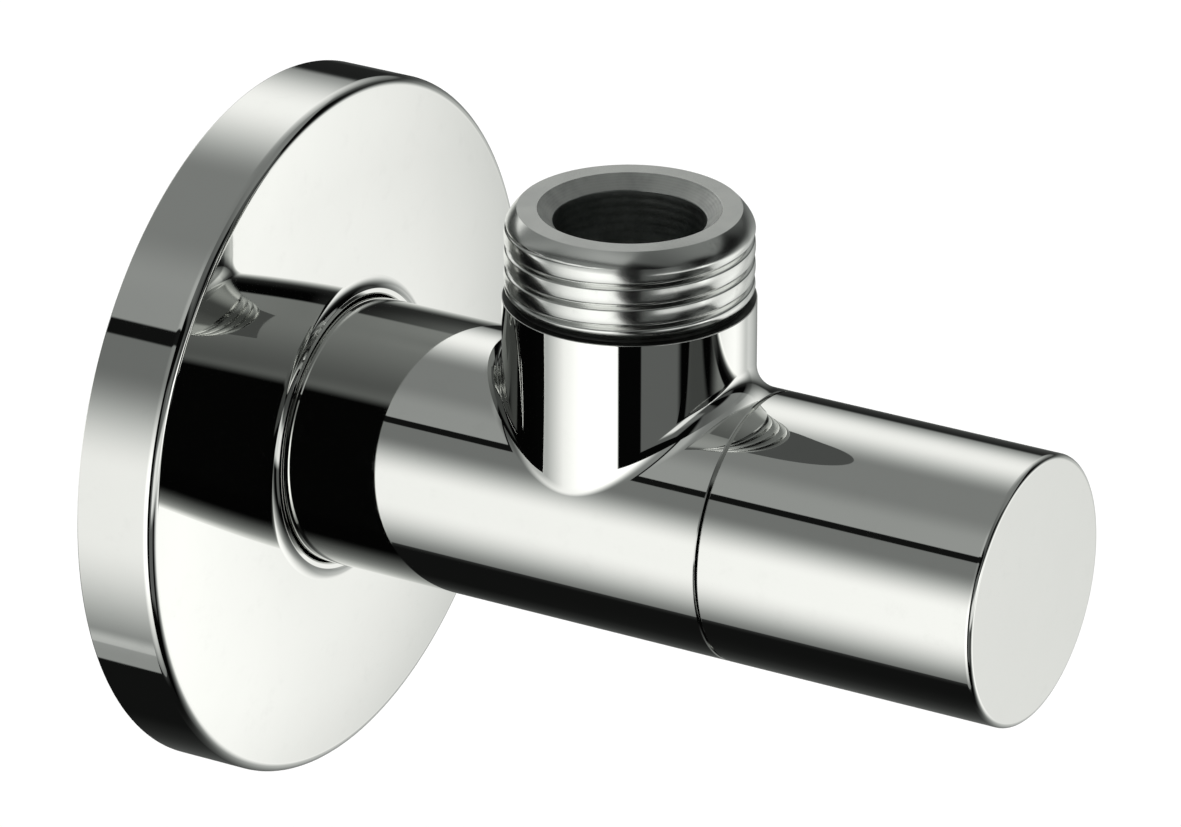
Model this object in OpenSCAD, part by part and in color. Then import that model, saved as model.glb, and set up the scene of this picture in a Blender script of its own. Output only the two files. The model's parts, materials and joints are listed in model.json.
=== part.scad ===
// Angle stop valve: a right-angled shut-off valve that screws into a wall elbow, with a push-on
// rosette, an upward threaded outlet and a multi-turn handle in line with the body.
// Millimetres. The origin is where the inlet axis meets the finished wall. The valve stands out
// from the wall along -Y and its outlet points along +Z. Names that end in _at are distances out
// from the wall, and the parts are drawn along +Z before out_of_wall() turns them to -Y.

/* [Pipe threads] */
// Major diameter of the G 1/2 pipe thread on the inlet and the outlet
pipe_thread_d = 20.955; // [20.8:0.005:21.1]
// Pitch of the pipe thread
pipe_pitch = 1.814; // [1.8:0.002:1.83]
// How far the inlet thread reaches into the wall
inlet_depth = 12; // [10:0.5:16]
// Length of thread on the outlet, from its end face
outlet_thread_len = 7.6; // [6:0.2:9]

/* [Body] */
// Diameter of the barrel and of the handle that continues it
barrel_d = 23.12; // [23:0.02:23.6]
// Distance from the wall to the end of the barrel
body_len = 48.1; // [48:0.1:52]
// Distance from the wall to the outlet axis
outlet_at = 35.4; // [34.8:0.1:35.8]
// Height of the outlet end face above the barrel axis
outlet_h = 26.1; // [25:0.1:32]
// Diameter of the outlet tube under its thread
outlet_tube_d = 21.3; // [21.28:0.02:21.6]
// Diameter of the outlet waterway
outlet_bore_d = 12.8; // [12:0.1:13.6]
// Diameter of the inlet waterway
inlet_bore_d = 12; // [10.5:0.5:13]

/* [Rosette] */
// Outside diameter of the rosette
rosette_d = 61; // [50:0.5:70]
// Depth of the rosette from its rim on the wall to the edge of its face
rosette_depth = 7.4; // [7.2:0.1:9]
// Thickness of the rosette sheet
rosette_sheet = 1.2; // [1:0.05:1.3]
// Radius of the edge between the rim and the face
rosette_edge_r = 0.9; // [0.3:0.1:1.1]
// How far the pressed face bulges out between its edge and the lip
rosette_bulge = 0.6; // [0.2:0.05:0.7]
// Width of the round lip that stands up around the barrel
lip_w = 0.7; // [0.6:0.05:0.9]
// Height of that lip above the rosette face
lip_h = 0.45; // [0.45:0.05:0.8]

/* [Handle] */
// Length of the handle shell
handle_len = 25.3; // [25:0.1:30]
// Width of the shadow line between the barrel and the handle
shadow_line = 0.3; // [0.2:0.02:0.5]
// Wall of the handle shell
handle_wall = 1.2; // [1.1:0.05:1.25]
// Radius of the outer edge of the handle's end face
handle_edge_r = 0.5; // [0.2:0.1:0.8]

/* [Headwork] */
// How far the valve disc lifts off its seat
lift = 4.5; // [3:0.1:4.5]
// Distance that one turn of the handle lifts the disc
stop_pitch = 1.5; // [1:0.25:2]
// Number of teeth on the spindle spline
spline_teeth = 20; // [12:1:24]

/* [Hidden] */

$fn = 96;
pipe_angle = 55;      // thread angle of a Whitworth pipe thread
pipe_depth = 0.64;    // its depth, as a share of the pitch
metric_angle = 60;    // thread angle of a metric thread
metric_depth = 0.61;  // its depth, as a share of the pitch
fine_pitch = 1;       // pitch of the thread that holds the bonnet in the body
slide_fit = 0.05;     // radial clearance of parts that slide, turn or are pushed together
seal_fit = 0.08;      // radial clearance of parts that an O-ring seals
part_gap = 0.01;      // gap between faces that rest on each other
edge = 0.2;           // chamfer that breaks a turned edge
fine_edge = 0.08;     // chamfer along the shadow line
past = 1;             // how far a cutter runs past the face that it opens

// Body
barrel_r = barrel_d / 2;
spigot_r = barrel_r - 0.36;           // floor of the shadow line
spigot_at = body_len + shadow_line - 0.04;
thread_r = pipe_thread_d / 2;
relief_r = thread_r - 1.1;            // bottom of the undercut behind each pipe thread
shoulder_at = 2;                      // barrel begins, just in front of the wall
inlet_relief_at = 0.9;                // inlet thread ends
seat_at = 28;                         // crest of the valve seat
seat_r = 5;                           // hole in the seat
seat_land = 0.9;                      // width of the seat's crest
seat_height = 1.5;                    // seat's crest above the chamber floor
seat_wall = 1.5;                      // wall under the seat
chamber_r = 8.2;
port_r = 5.2;                         // lower, narrower stretch of the outlet waterway
port_top = 14;                        // height where the outlet waterway widens
mouth_chamfer = 1.2;
outlet_thread_from = outlet_h - outlet_thread_len;
outlet_relief = 0.95;                 // width of the undercut under the outlet thread

// Bonnet, which screws into the end of the body
bonnet_thread_r = 9;
bonnet_thread_at = body_len - 4.9;
nose_at = body_len - 10.1;            // inner end of the bonnet
nose_r = chamber_r - 0.1;
seal_groove_at = nose_at + 3;
seal_groove_w = 1.7;
seal_groove_r = 7;
seal_wire = (chamber_r - seal_groove_r) / 2 - 0.02;
flange_r = 9.7;
flange_t = 1.4;
bonnet_hex = 15;                      // across flats, for the spanner
neck_at = body_len + 6.9;
neck_r = 6.2;
bonnet_end_at = body_len + 12.9;
guide_r = 6.3;                        // round bore that the piston seal runs in
hex_guide = 10.9;                     // hexagonal bore that stops the piston turning

// Piston, drawn closed with its washer on the seat
closed_gap = 0.02;
washer_at = seat_at + closed_gap;
washer_t = 2.58;
washer_r = 6.5;
cup_at = washer_at + washer_t;        // floor of the cup that holds the washer
cup_r = 7.4;
cup_rim = 1.7;
cup_t = 1.9;
stem_r = 4.8;
land_at = nose_at + 0.3;              // land that carries the piston's seal
land_end_at = land_at + 2.7;
land_r = guide_r - seal_fit;
land_groove_r = guide_r - 1.25;
land_lip = 0.5;
piston_seal_wire = 0.58;              // half the thickness of the piston's O-ring
piston_hex = hex_guide - 0.2;
piston_end_at = body_len + 0.6;
hex_guide_at = land_end_at + lift + 0.7;
collar_at = piston_end_at + lift + 0.2;  // pocket for the spindle collar
pocket_end_at = collar_at + 2.3;
plate_t = 0.6;
plate_r = 4.4;
screw_r = 2;
screw_pitch = 0.7;
screw_len = 4.4;                      // depth of its hole in the piston
screw_head_r = 3.3;
screw_head_t = 1.6;
screw_head_at = washer_at - plate_t - screw_head_t;
screw_slot = [7, 0.9, 0.8];
drive_bore_at = piston_end_at - 12.2;

// Spindle
drive_r = 3.35;                       // major radius of its left-hand drive thread
drive_depth = 0.4 * stop_pitch;
spindle_tip_at = body_len - 6.6;
spindle_r = 4;
collar_r = 5;
collar_from = collar_at + 0.2;
collar_end_at = collar_from + 1.6;
o_ring_wire = 0.555;                  // half the thickness of a spindle O-ring
o_ring_groove_r = 2.95;
o_ring_groove_w = 1.5;
o_ring_at = [body_len + 9.1, body_len + 11.3];
circlip_at = bonnet_end_at + 0.1;
circlip_t = 0.8;
circlip_end_at = circlip_at + circlip_t + 2 * slide_fit;
circlip_groove_r = 3.3;
circlip_r = 5.2;
circlip_lug_x = 1.7;                  // lugs with holes for the pliers, each side of the slot
circlip_slot = 1.2;
spline_at = circlip_at + circlip_t + 0.4;
spline_end_at = spline_at + 7.4;
spline_depth = 0.45;
spline_root_r = spindle_r - spline_depth;
snap_at = spline_at + 3.5;            // spring ring that keeps the handle on the spline
snap_from = snap_at - 0.6;
snap_to = snap_at + 0.6;
snap_wire = 0.5;                      // half the thickness of its wire
snap_groove_r = 3.3;
snap_room_r = 4.7;
snap_gap = 60;                        // angle of the ring's opening

// Handle
handle_at = body_len + shadow_line;
handle_end_at = handle_at + handle_len;
shell_bore_r = barrel_r - handle_wall;
shell_floor_at = handle_end_at - 2.3;
insert_at = spline_at;
insert_end_at = shell_floor_at - 0.1;
insert_hub_r = 6.2;
insert_wall = 1.3;
insert_ribs = 6;
insert_web_at = insert_at + 2;        // inner end of its rim and ribs
glide_at = body_len + flange_t + slide_fit;
glide_len = 2.1;

// Rosette
rosette_r = rosette_d / 2;
lip_r = barrel_r + 0.16;              // clear of the barrel, so that the rosette can slide
lip_base_at = rosette_depth + rosette_bulge;
lip_round_r = 0.25;
flare_r = 1.6;                        // hollow curve where the face turns up into the lip
flare_angle = 38;
flare_from = lip_r + lip_w + flare_r * sin(flare_angle);
grip_wire = 0.85;                     // half the thickness of the ring that grips the barrel
grip_ring_r = barrel_r + 0.04 + grip_wire;
grip_at = 4.4;
hub_from = 2.4;
hub_r = 15;
hub_groove_w = 1.9;
hub_groove_r = grip_ring_r + grip_wire + slide_fit;

// Turns a shape drawn along +Z so that it stands out of the wall along -Y.
module out_of_wall() rotate([90, 0, 0]) children();

// Round solid from an outline of [radius, distance] points.
module turned(outline) rotate_extrude() polygon(outline);

// Round ring or sleeve between two distances.
module sleeve(outer, inner, from, to)
    turned([[inner, from], [outer, from], [outer, to], [inner, to]]);

// O-ring of a given wire radius, centred at one distance.
module o_ring(ring_r, wire_r, at)
    translate([0, 0, at]) rotate_extrude() translate([ring_r, 0]) circle(r = wire_r);

// Hexagonal bar between two distances, sized across its flats.
module hex_bar(across, from, to)
    translate([0, 0, from]) cylinder(r = across / 2 / cos(30), h = to - from, $fn = 6);

// Points along an arc, for outlines.
function arc(centre, r, from, to, steps = 8) =
    [for (i = [0:steps]) let (turn = from + (to - from) * i / steps)
        centre + r * [cos(turn), sin(turn)]];

// Outline of a thread's crests and roots as rings, from one distance up to another.
function thread_outline(r, depth_share, angle, pitch, from, to) =
    let (depth = depth_share * pitch,
         flank = depth * tan(angle / 2),
         flat = pitch / 2 - flank,
         turns = floor((to - from) / pitch),
         start = from + (to - from - turns * pitch) / 2)
    [for (i = [0:turns - 1]) let (z = start + i * pitch + flat / 2)
        each [[r - depth, z], [r, z + flank], [r, z + flank + flat],
              [r - depth, z + 2 * flank + flat]]];

// Outline of a spline with its crests at r. Each step is a share of a tooth and a radius.
function spline_outline(r, depth, teeth) =
    [for (i = [0:teeth - 1], step = [[0.12, r - depth], [0.3, r], [0.7, r], [0.88, r - depth]])
        let (turn = 360 * (i + step[0]) / teeth) step[1] * [cos(turn), sin(turn)]];

module barrel_solid()
    turned(concat(
        [[0, -inlet_depth], [relief_r, -inlet_depth]],
        thread_outline(thread_r, pipe_depth, pipe_angle, pipe_pitch, -inlet_depth, inlet_relief_at),
        [[relief_r, inlet_relief_at], [relief_r, shoulder_at],
         [barrel_r - edge, shoulder_at], [barrel_r, shoulder_at + edge],
         [barrel_r, body_len - fine_edge], [barrel_r - fine_edge, body_len],
         [spigot_r, body_len], [spigot_r, spigot_at], [0, spigot_at]]));

module outlet_solid()
    turned(concat(
        [[0, 0], [outlet_tube_d / 2, 0],
         [outlet_tube_d / 2, outlet_thread_from - outlet_relief - edge],
         [outlet_tube_d / 2 - edge, outlet_thread_from - outlet_relief],
         [relief_r, outlet_thread_from - outlet_relief]],
        thread_outline(thread_r, pipe_depth, pipe_angle, pipe_pitch, outlet_thread_from, outlet_h),
        [[relief_r, outlet_h], [0, outlet_h]]));

module barrel_waterway()
    turned([[0, -inlet_depth - past], [inlet_bore_d / 2, -inlet_depth - past],
            [inlet_bore_d / 2, seat_at - seat_height - seat_wall],
            [seat_r, seat_at - seat_height - seat_wall],
            [seat_r, seat_at], [seat_r + seat_land, seat_at],
            [seat_r + seat_land + seat_height / 2, seat_at - seat_height],
            [chamber_r, seat_at - seat_height],
            [chamber_r, bonnet_thread_at], [bonnet_thread_r + slide_fit, bonnet_thread_at],
            [bonnet_thread_r + slide_fit, body_len], [flange_r + 2 * slide_fit, body_len],
            [flange_r + 2 * slide_fit, spigot_at + past], [0, spigot_at + past]]);

module outlet_waterway()
    turned([[0, 0], [port_r, 0], [port_r, port_top], [outlet_bore_d / 2, port_top + 1],
            [outlet_bore_d / 2, outlet_h - mouth_chamfer],
            [outlet_bore_d / 2 + mouth_chamfer, outlet_h],
            [outlet_bore_d / 2 + mouth_chamfer, outlet_h + past], [0, outlet_h + past]]);

module valve_body()
    color("gainsboro")
    difference() {
        union() {
            out_of_wall() barrel_solid();
            translate([0, -outlet_at, 0]) outlet_solid();
        }
        out_of_wall() barrel_waterway();
        translate([0, -outlet_at, 0]) outlet_waterway();
    }

module inlet_seal_ring()
    color("white")
    out_of_wall() sleeve(barrel_r - 2 * edge, relief_r + slide_fit,
                         inlet_relief_at + slide_fit, shoulder_at - part_gap);

module bonnet()
    color("goldenrod")
    out_of_wall()
    difference() {
        union() {
            turned(concat(
                [[0, nose_at], [nose_r - edge, nose_at], [nose_r, nose_at + edge],
                 [nose_r, seal_groove_at], [seal_groove_r, seal_groove_at],
                 [seal_groove_r, seal_groove_at + seal_groove_w],
                 [nose_r, seal_groove_at + seal_groove_w], [nose_r, bonnet_thread_at]],
                thread_outline(bonnet_thread_r, metric_depth, metric_angle, fine_pitch,
                               bonnet_thread_at, body_len),
                [[nose_r, body_len], [flange_r, body_len], [flange_r, body_len + flange_t],
                 [neck_r, body_len + flange_t],
                 [neck_r, bonnet_end_at - edge], [neck_r - edge, bonnet_end_at],
                 [0, bonnet_end_at]]));
            hex_bar(bonnet_hex, body_len + flange_t / 2, neck_at);
        }
        translate([0, 0, nose_at - past]) cylinder(r = guide_r, h = hex_guide_at - nose_at + past);
        hex_bar(hex_guide, hex_guide_at - past, collar_at);
        turned([[0, collar_at - past], [collar_r + 3 * slide_fit, collar_at - past],
                [collar_r + 3 * slide_fit, pocket_end_at],
                [spindle_r + seal_fit, pocket_end_at],
                [spindle_r + seal_fit, bonnet_end_at + past], [0, bonnet_end_at + past]]);
    }

module bonnet_o_ring()
    color("dimgray")
    out_of_wall() o_ring((seal_groove_r + chamber_r) / 2, seal_wire,
                         seal_groove_at + seal_groove_w / 2);

module glide_ring()
    color("ivory")
    out_of_wall() sleeve(shell_bore_r - seal_fit, bonnet_hex / 2 / cos(30) + slide_fit,
                         glide_at, glide_at + glide_len);

module piston()
    color("goldenrod")
    out_of_wall()
    difference() {
        union() {
            turned([[0, cup_at], [washer_r + slide_fit, cup_at],
                    [washer_r + slide_fit, cup_at - cup_rim],
                    [cup_r - edge, cup_at - cup_rim], [cup_r, cup_at - cup_rim + edge],
                    [cup_r, cup_at + cup_t - edge], [cup_r - edge, cup_at + cup_t],
                    [stem_r, cup_at + cup_t], [stem_r, land_at],
                    [land_r, land_at], [land_r, land_at + land_lip],
                    [land_groove_r, land_at + land_lip],
                    [land_groove_r, land_end_at - land_lip],
                    [land_r, land_end_at - land_lip], [land_r, land_end_at], [0, land_end_at]]);
            hex_bar(piston_hex, land_end_at - land_lip / 2, piston_end_at);
        }
        translate([0, 0, drive_bore_at]) cylinder(r = drive_r + slide_fit, h = piston_end_at);
        translate([0, 0, cup_at - past]) cylinder(r = screw_r + slide_fit, h = screw_len + past);
    }

module piston_o_ring()
    color("dimgray")
    out_of_wall() o_ring((land_groove_r + guide_r) / 2, piston_seal_wire,
                         (land_at + land_end_at) / 2);

module seat_washer()
    color("dimgray")
    out_of_wall() sleeve(washer_r, screw_r + slide_fit, washer_at, cup_at - part_gap);

module washer_plate()
    color("silver")
    out_of_wall() sleeve(plate_r, screw_r + slide_fit,
                         washer_at - plate_t, washer_at - part_gap);

module washer_screw()
    color("silver")
    out_of_wall()
    difference() {
        turned(concat(
            [[0, screw_head_at], [screw_head_r - edge, screw_head_at],
             [screw_head_r, screw_head_at + edge],
             [screw_head_r, screw_head_at + screw_head_t - part_gap],
             [screw_r, screw_head_at + screw_head_t - part_gap], [screw_r, cup_at]],
            thread_outline(screw_r, metric_depth, metric_angle, screw_pitch,
                           cup_at, cup_at + screw_len - 0.4),
            [[0, cup_at + screw_len - 0.4]]));
        translate([0, 0, screw_head_at]) cube([screw_slot.x, screw_slot.y, 2 * screw_slot.z],
                                              center = true);
    }

module spindle()
    color("goldenrod")
    out_of_wall() {
        turned(concat(
            [[0, spindle_tip_at], [drive_r - drive_depth, spindle_tip_at]],
            thread_outline(drive_r, drive_depth / stop_pitch, metric_angle, stop_pitch,
                           spindle_tip_at, collar_from - drive_depth),
            [[drive_r - drive_depth, collar_from], [collar_r, collar_from],
             [collar_r, collar_end_at], [spindle_r, collar_end_at]],
            [for (at = o_ring_at, step = [[spindle_r, -1], [o_ring_groove_r, -1],
                                          [o_ring_groove_r, 1], [spindle_r, 1]])
                [step[0], at + step[1] * o_ring_groove_w / 2]],
            [[spindle_r, circlip_at], [circlip_groove_r, circlip_at],
             [circlip_groove_r, circlip_end_at], [spline_root_r, circlip_end_at],
             [spline_root_r, snap_from], [snap_groove_r, snap_from],
             [snap_groove_r, snap_to], [spline_root_r, snap_to],
             [spline_root_r, spline_end_at], [0, spline_end_at]]));
        for (span = [[spline_at, snap_from], [snap_to, spline_end_at - edge]])
            translate([0, 0, span[0]]) linear_extrude(span[1] - span[0])
                polygon(spline_outline(spindle_r, spline_depth + 2 * slide_fit, spline_teeth));
    }

module spindle_o_rings()
    color("dimgray")
    out_of_wall()
    for (at = o_ring_at)
        o_ring((o_ring_groove_r + spindle_r + seal_fit) / 2, o_ring_wire, at);

module slip_washer()
    color("white")
    out_of_wall() sleeve(collar_r + slide_fit, spindle_r + slide_fit,
                         collar_end_at + part_gap, pocket_end_at - part_gap);

module circlip()
    color("silver")
    out_of_wall() translate([0, 0, circlip_at + slide_fit]) linear_extrude(circlip_t)
    difference() {
        union() {
            circle(r = circlip_r);
            for (side = [-1, 1]) translate([side * circlip_lug_x, circlip_r]) circle(r = 1.1);
        }
        circle(r = circlip_groove_r + slide_fit);
        translate([-circlip_slot / 2, 0]) square([circlip_slot, 2 * circlip_r]);
        for (side = [-1, 1]) translate([side * circlip_lug_x, circlip_r]) circle(r = 0.5);
    }

module handle_shell()
    color("gainsboro")
    out_of_wall()
    turned(concat(
        [[0, shell_floor_at], [shell_bore_r, shell_floor_at],
         [shell_bore_r, handle_at], [barrel_r - fine_edge, handle_at],
         [barrel_r, handle_at + fine_edge]],
        arc([barrel_r - handle_edge_r, handle_end_at - handle_edge_r], handle_edge_r, 0, 90),
        [[0, handle_end_at]]));

module handle_insert()
    color("ivory")
    out_of_wall()
    difference() {
        union() {
            sleeve(shell_bore_r - slide_fit, shell_bore_r - slide_fit - insert_wall,
                   insert_web_at, insert_end_at);
            translate([0, 0, insert_end_at - insert_wall])
                cylinder(r = shell_bore_r - slide_fit, h = insert_wall);
            translate([0, 0, insert_at]) cylinder(r = insert_hub_r, h = insert_end_at - insert_at);
            for (i = [0:insert_ribs - 1])
                rotate(360 * i / insert_ribs)
                    translate([insert_hub_r - insert_wall / 2, -insert_wall / 2, insert_web_at])
                        cube([shell_bore_r - insert_hub_r, insert_wall, insert_end_at - insert_web_at]);
        }
        translate([0, 0, insert_at - past])
            linear_extrude(spline_end_at - insert_at + past + 4 * slide_fit)
                polygon(spline_outline(spindle_r + slide_fit, spline_depth - 2 * slide_fit,
                                       spline_teeth));
        translate([0, 0, snap_from]) cylinder(r = snap_room_r, h = snap_to - snap_from);
    }

module snap_ring()
    color("silver")
    out_of_wall() translate([0, 0, snap_at]) rotate(90 + snap_gap / 2)
        rotate_extrude(angle = 360 - snap_gap)
            translate([snap_groove_r + 2 * slide_fit + snap_wire, 0]) circle(r = snap_wire);

module rosette()
    color("gainsboro")
    out_of_wall()
    turned(concat(
        [[lip_r, rosette_depth - rosette_sheet],
         [rosette_r - rosette_sheet, rosette_depth - rosette_sheet],
         [rosette_r - rosette_sheet, 0], [rosette_r, 0]],
        arc([rosette_r - rosette_edge_r, rosette_depth - rosette_edge_r], rosette_edge_r, 0, 90),
        [for (i = [1:5]) let (share = i / 6, from = rosette_r - rosette_edge_r)
            [from + (flare_from - from) * share,
             rosette_depth + rosette_bulge * (1 - pow(1 - share, 2))]],
        arc([flare_from, lip_base_at + flare_r], flare_r, 270, 270 - flare_angle),
        arc([lip_r + lip_w - lip_round_r, lip_base_at + lip_h - lip_round_r],
            lip_round_r, 90 - flare_angle, 90, 6),
        arc([lip_r + lip_round_r, lip_base_at + lip_h - lip_round_r], lip_round_r, 90, 180, 6)));

module rosette_hub()
    color("dimgray")
    out_of_wall()
    turned([[lip_r, hub_from], [hub_r, hub_from],
            [hub_r, rosette_depth - rosette_sheet - part_gap],
            [lip_r, rosette_depth - rosette_sheet - part_gap],
            [lip_r, grip_at + hub_groove_w / 2], [hub_groove_r, grip_at + hub_groove_w / 2],
            [hub_groove_r, grip_at - hub_groove_w / 2], [lip_r, grip_at - hub_groove_w / 2]]);

module rosette_grip_ring()
    color("dimgray")
    out_of_wall() o_ring(grip_ring_r, grip_wire, grip_at);

valve_body();
inlet_seal_ring();
bonnet();
bonnet_o_ring();
glide_ring();
piston();
piston_o_ring();
seat_washer();
washer_plate();
washer_screw();
spindle();
spindle_o_rings();
slip_washer();
circlip();
handle_shell();
handle_insert();
snap_ring();
rosette();
rosette_hub();
rosette_grip_ring();
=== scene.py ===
import json
import math

import bpy
import numpy as np
from mathutils import Matrix, Vector


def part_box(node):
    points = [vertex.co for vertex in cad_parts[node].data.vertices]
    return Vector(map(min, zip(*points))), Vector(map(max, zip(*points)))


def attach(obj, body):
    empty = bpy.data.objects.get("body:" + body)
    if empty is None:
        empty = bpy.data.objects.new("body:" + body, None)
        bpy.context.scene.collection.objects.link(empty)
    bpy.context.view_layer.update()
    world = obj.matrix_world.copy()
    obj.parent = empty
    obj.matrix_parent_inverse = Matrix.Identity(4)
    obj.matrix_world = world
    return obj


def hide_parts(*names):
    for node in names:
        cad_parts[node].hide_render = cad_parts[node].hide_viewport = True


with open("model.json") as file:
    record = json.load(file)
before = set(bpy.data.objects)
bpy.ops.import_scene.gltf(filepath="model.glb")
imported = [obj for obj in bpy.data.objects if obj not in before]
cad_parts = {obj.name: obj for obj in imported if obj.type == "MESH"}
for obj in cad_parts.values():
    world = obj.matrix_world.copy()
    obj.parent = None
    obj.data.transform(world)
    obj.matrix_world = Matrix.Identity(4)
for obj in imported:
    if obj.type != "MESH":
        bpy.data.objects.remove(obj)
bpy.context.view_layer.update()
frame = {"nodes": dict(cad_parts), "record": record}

# ---------------------------------------------------------------------------------------------
# Sizes in millimetres. "at" is a distance out from the wall along -Y, as the CAD part uses it.
# ---------------------------------------------------------------------------------------------
MM = 0.001
MOUNTS = {mount["name"]: mount for mount in frame["record"]["mounts"]}


def node_mm(node):
    """Lowest and highest corner of a CAD node, in millimetres."""
    return [[round(value / MM, 2) for value in corner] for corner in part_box(node)]


BODY_LOW, BODY_HIGH = node_mm("valve_body")
HANDLE_LOW, HANDLE_HIGH = node_mm("handle_shell")
ROSETTE_LOW, ROSETTE_HIGH = node_mm("rosette")
HUB_LOW, HUB_HIGH = node_mm("rosette_hub")
GRIP_LOW, GRIP_HIGH = node_mm("rosette_grip_ring")
SEAL_LOW, SEAL_HIGH = node_mm("inlet_seal_ring")

BARREL_R = HANDLE_HIGH[0]
OUTLET_AT = -MOUNTS["outlet_thread"]["pos_m"][1] / MM
OUTLET_TOP = BODY_HIGH[2]
THREAD_R = MOUNTS["outlet_thread"]["dims"]["r_mm"]
PITCH = 1.814
THREAD_DEPTH = 0.36
RELIEF_DEPTH = 1.1
RELIEF_R = THREAD_R - RELIEF_DEPTH  # undercut behind the inlet thread
# The end of a thread: how deep and how high its rounded end is, and the power of its curve
PLAIN_END = (1.1, 1.1, 1.3)
LOW_END = (0.62, 1.05, 2.0)
HIGH_END = (1.08, 1.75, 1.6)

# Barrel
INLET_END = -BODY_HIGH[1]
SPIGOT_AT = -BODY_LOW[1]            # a thin spigot fills the shadow line before the handle
SPIGOT_LENGTH = 0.26
BODY_END = SPIGOT_AT - SPIGOT_LENGTH
SHADOW_DEPTH = 0.36
SPIGOT_R = BARREL_R - SHADOW_DEPTH
SHOULDER_AT = 2.0
INLET_RELIEF_AT = 0.9
FINE_EDGE = 0.08

# Outlet
TUBE_R = 10.65
BLEND_R = 1.9
OUTLET_THREAD_LENGTH = 7.7
OUTLET_THREAD_FROM = OUTLET_TOP - OUTLET_THREAD_LENGTH
OUTLET_RELIEF_WIDTH = 0.2
OUTLET_RELIEF_FROM = OUTLET_THREAD_FROM - OUTLET_RELIEF_WIDTH
PLAIN_NECK = 0.5        # top stretch of the tube that has its own outline
OUTLET_RELIEF_R = THREAD_R - LOW_END[0]
OUTLET_RIM_R = THREAD_R - HIGH_END[0]
BORE_R = 6.4
MOUTH_DEPTH = 1.1
MOUTH_R = 7.7
PORT_R = 5.2
PORT_TOP = 14.0
PORT_CONE = 1.0         # height of the drill cone between the bore and the port
PORT_LIP = 1.0          # top stretch of the port that has its own outline
GROOVE_HEIGHT = 23.35   # height of one thread groove on the side of the outlet at GROOVE_TURN
GROOVE_TURN = 209.8
GROOVE_HALF = 0.34      # half the width of a thread groove
CREST_BOW = 0.35        # curvature of the crest between grooves, per millimetre

# Inside of the barrel, from its front end back to the inlet
SPIGOT_BORE_R = 9.8
HEADWORK_BORE_R = 9.05
HEADWORK_DEPTH = 4.9
CHAMBER_R = 8.2
SEAT_AT = 28.0
SEAT_FOOT_R = 6.65
SEAT_CREST_R = 5.9
SEAT_HEIGHT = 1.5
SEAT_HOLE_R = 5.0
SEAT_HOLE_DEPTH = 3.0
INLET_BORE_R = 6.0

# Handle shell
CAP_FLOOR = 2.3         # thickness of its closed end
CAP_EDGE_R = 0.5

# Rosette
LIP_TOP = -ROSETTE_LOW[1]
LIP_H = 0.45
BULGE = 0.6             # how far the face bulges out between its edge and the lip
ROSETTE_FACE = LIP_TOP - LIP_H - BULGE
ROSETTE_R = ROSETTE_HIGH[0]
ROSETTE_EDGE_R = 0.9
SHEET = 1.2
LIP_GAP = 0.16
LIP_W = 0.7
LIP_INNER_R = BARREL_R + LIP_GAP
LIP_OUTER_R = LIP_INNER_R + LIP_W
LIP_LEAN = 0.14         # how much narrower the lip is at its top
FLARE_R = 1.6           # hollow curve where the face turns up into the lip
FLARE_ANGLE = math.radians(38)
GRIP_GROOVE_HALF = 0.95 # half the width of the groove for the grip ring
RING_GAP = 0.05         # play of the grip ring and the seal ring


# ---------------------------------------------------------------------------------------------
# Mesh building: every surface is a grid of points that carries its own exact normals.
# ---------------------------------------------------------------------------------------------
WELD = 2e-4             # points in the same cell of this size, in millimetres, are one vertex
WELD_SHIFT = 0.37       # keeps round numbers off the borders between those cells
ROUND_STEPS = 8         # flats along a rounded corner
THREAD_ROWS = 32        # rows of a thread's grid in one pitch
THREAD_FADE = 0.5       # length past its rounded end over which a thread's groove deepens
END_SHARE = 0.7         # share of the rounded end's height that has no groove at all
SLOPE_REACH = 0.02      # half the stretch over which a thread's slope is measured
STRAIGHT_RINGS = 8      # divisions along a straight stretch of the outlet
BLEND_RINGS = 12        # and across the blend at its foot
FACE_STEPS = 24         # divisions across the rosette's bulging face
LATHE_TURNS = 288       # divisions round a turned piece
FINE_TURNS = 384        # and round the handle and the rosette


def from_wall(r, at, turn):
    """Point at a radius, a distance out from the wall, and an angle from +Z towards -X."""
    return np.stack(np.broadcast_arrays(-r * np.sin(turn), -at, r * np.cos(turn)), -1)


def from_outlet(r, height, turn):
    """Point at a radius from the outlet's axis, a height and an angle from +X towards +Y."""
    x, y, z = np.broadcast_arrays(r * np.cos(turn), r * np.sin(turn) - OUTLET_AT, height)
    return np.stack([x, y, z], -1)


def wall_normal(out, along, turn):
    return from_wall(out, along, turn)


def outlet_normal(out, along, turn):
    x, y, z = np.broadcast_arrays(out * np.cos(turn), out * np.sin(turn), along)
    return np.stack([x, y, z], -1)


def unit(vectors):
    return vectors / np.linalg.norm(vectors, axis=-1, keepdims=True)


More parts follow.
